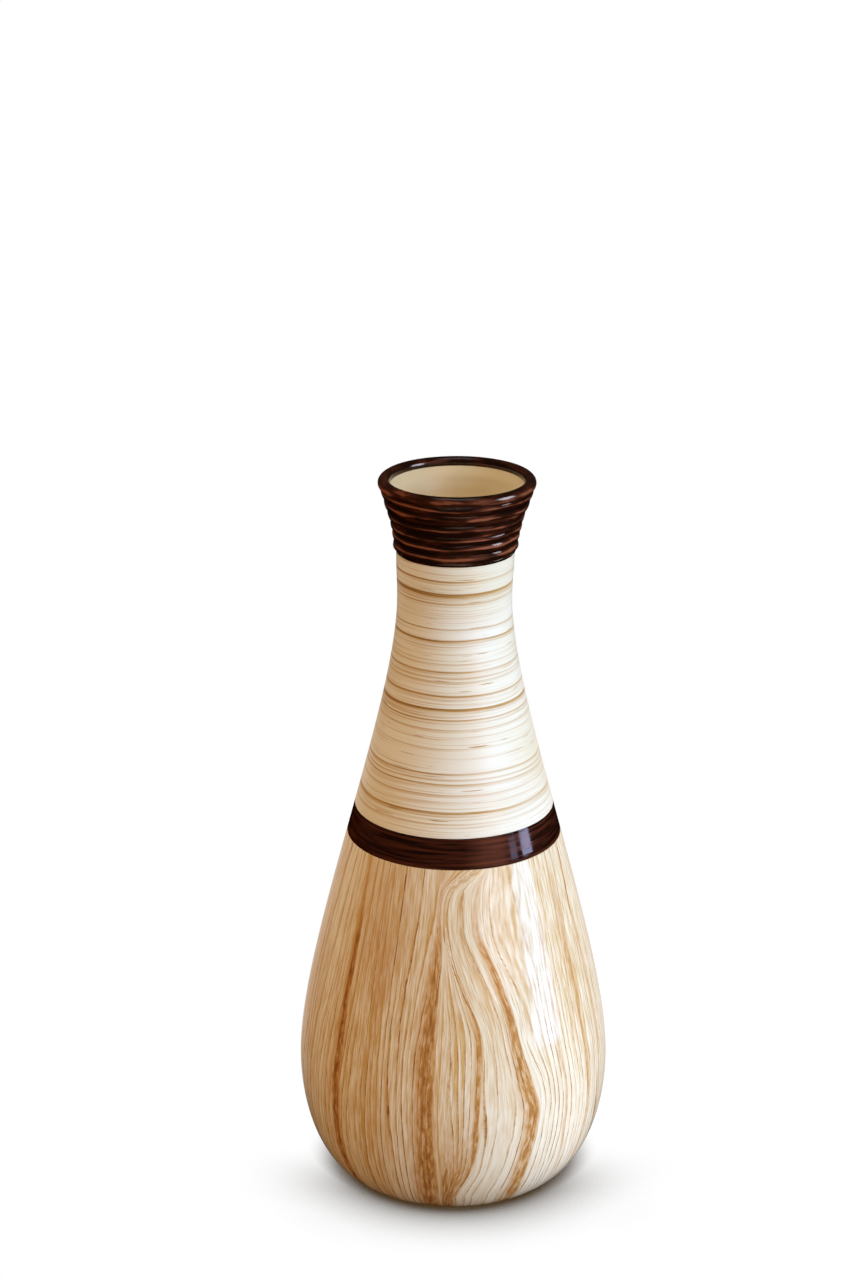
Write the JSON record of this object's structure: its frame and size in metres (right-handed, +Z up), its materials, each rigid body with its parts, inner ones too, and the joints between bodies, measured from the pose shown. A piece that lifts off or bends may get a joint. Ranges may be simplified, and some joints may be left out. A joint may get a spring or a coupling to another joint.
{
  "type": "ceramic vase",
  "caption": "Bottle-shaped glazed vase: wood-grain bulb, dark inlaid waist band, cream lined neck, ridged brown collar and rolled lip; holds water and cut stems.",
  "frame": {"origin": "centre of the foot, on the surface that the vase stands on", "axes": "+Z up along the axis of revolution; -Y is the side that the picture shows, +X to its right"},
  "size_m": [0.106, 0.106, 0.25],
  "materials": {
    "wood_grain_glaze": "gloss glaze over a tan wood-grain decoration",
    "cream_lined_glaze": "gloss cream glaze with thin brown lines running round",
    "dark_band_glaze": "high gloss near-black brown with reddish streaks",
    "brown_coil_glaze": "gloss chocolate brown that breaks reddish on the crests",
    "lining_glaze": "plain cream glaze, satin gloss"
  },
  "bodies": {
    "root": {"lower_body": "wood_grain_glaze", "neck": "cream_lined_glaze", "waist_band": "dark_band_glaze", "collar_coil_1": "brown_coil_glaze", "collar_coil_2": "brown_coil_glaze", "collar_coil_3": "brown_coil_glaze", "collar_coil_4": "brown_coil_glaze", "collar_coil_5": "brown_coil_glaze", "collar_coil_6": "brown_coil_glaze", "rolled_lip": "brown_coil_glaze", "glaze_lining": "lining_glaze"}
  },
  "joints": []
}
